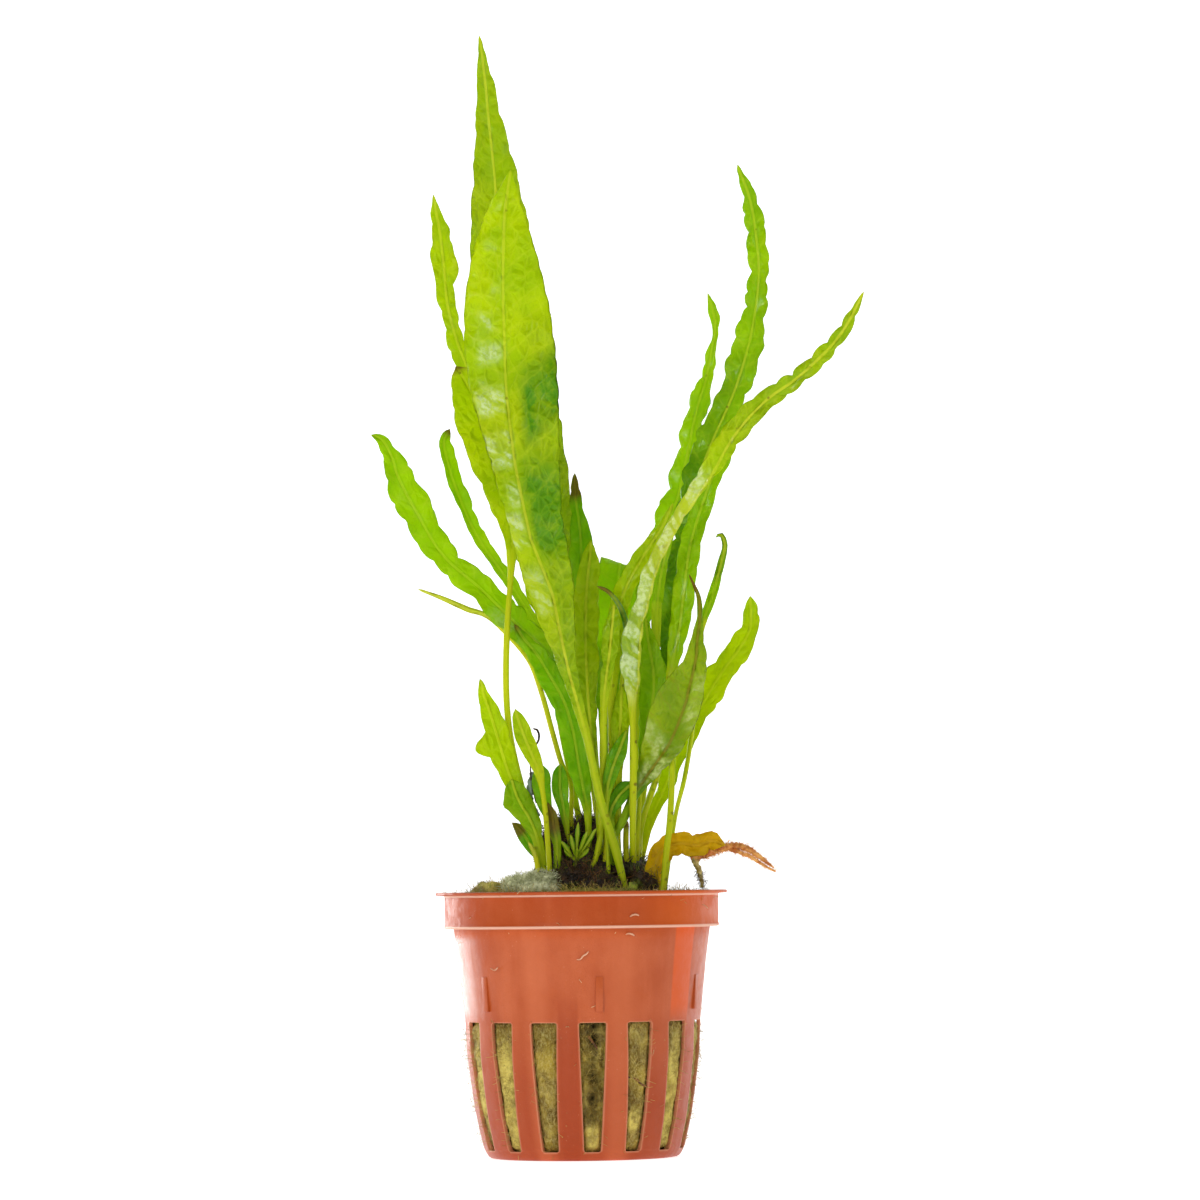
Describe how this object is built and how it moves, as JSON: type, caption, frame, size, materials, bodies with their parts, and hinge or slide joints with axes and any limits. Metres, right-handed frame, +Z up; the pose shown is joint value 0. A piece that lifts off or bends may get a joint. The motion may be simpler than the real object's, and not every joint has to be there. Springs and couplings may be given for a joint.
{
  "type": "potted java fern",
  "caption": "Young java fern with long wavy leaves on a dark rhizome, growing on rock wool in a slotted terracotta net pot.",
  "frame": {"origin": "centre of the pot's underside, on the surface that the pot stands on", "axes": "+Z up through the pot's axis, -Y towards the viewer of the picture, +X to the viewer's right"},
  "size_m": [0.0925, 0.055, 0.2146],
  "materials": {
    "pot": "moulded, thin, slightly translucent",
    "rock_wool": "fibrous, wet, algae-stained",
    "rhizome": "dark, scaly and root-matted",
    "bright": "wet waxy leaf",
    "green": "wet waxy leaf",
    "dark": "wet waxy leaf",
    "olive": "wet glossy leaf underside",
    "stalk": "pale stalk",
    "decayed": "soft decayed leaf",
    "root": "wiry root"
  },
  "bodies": {
    "root": {"net_pot": "pot", "rock_wool_plug": "rock_wool", "rhizome": "rhizome", "leaf_front_broad": "bright", "leaf_back_tall": "bright", "leaf_left_tall": "green", "leaf_left_wide": "green", "leaf_left_curled": "green", "leaf_left_long": "green", "leaf_left_inner": "dark", "leaf_thin_pale": "stalk", "leaf_brown_tipped": "dark", "leaf_centre_upright": "green", "leaf_centre_front": "bright", "leaf_hooked_dark": "dark", "leaf_slanting": "bright", "leaf_right_long": "bright", "leaf_right_tall": "green", "leaf_right_narrow": "green", "leaf_right_rounded": "green", "leaf_right_edge_on": "green", "leaf_right_shaded": "green", "leaf_right_low": "bright", "leaf_right_hooked": "green", "leaf_olive_front": "olive", "leaf_bent_back": "green", "leaf_lobed_low": "bright", "leaf_stub_low": "green", "leaf_spoon_low": "bright", "leaflet_left": "dark", "leaflet_middle": "dark", "leaflet_brown_tip": "dark", "leaf_fuzzy_grey": "dark", "stalk_short_left": "stalk", "stalk_short_right": "stalk", "stalk_short_centre": "stalk", "leaf_inner_bright": "bright", "leaf_inner_dark": "dark", "leaf_inner_low": "dark", "decayed_leaf": "decayed", "plantlet_tuft": "dark", "aerial_roots": "root"}
  },
  "joints": []
}
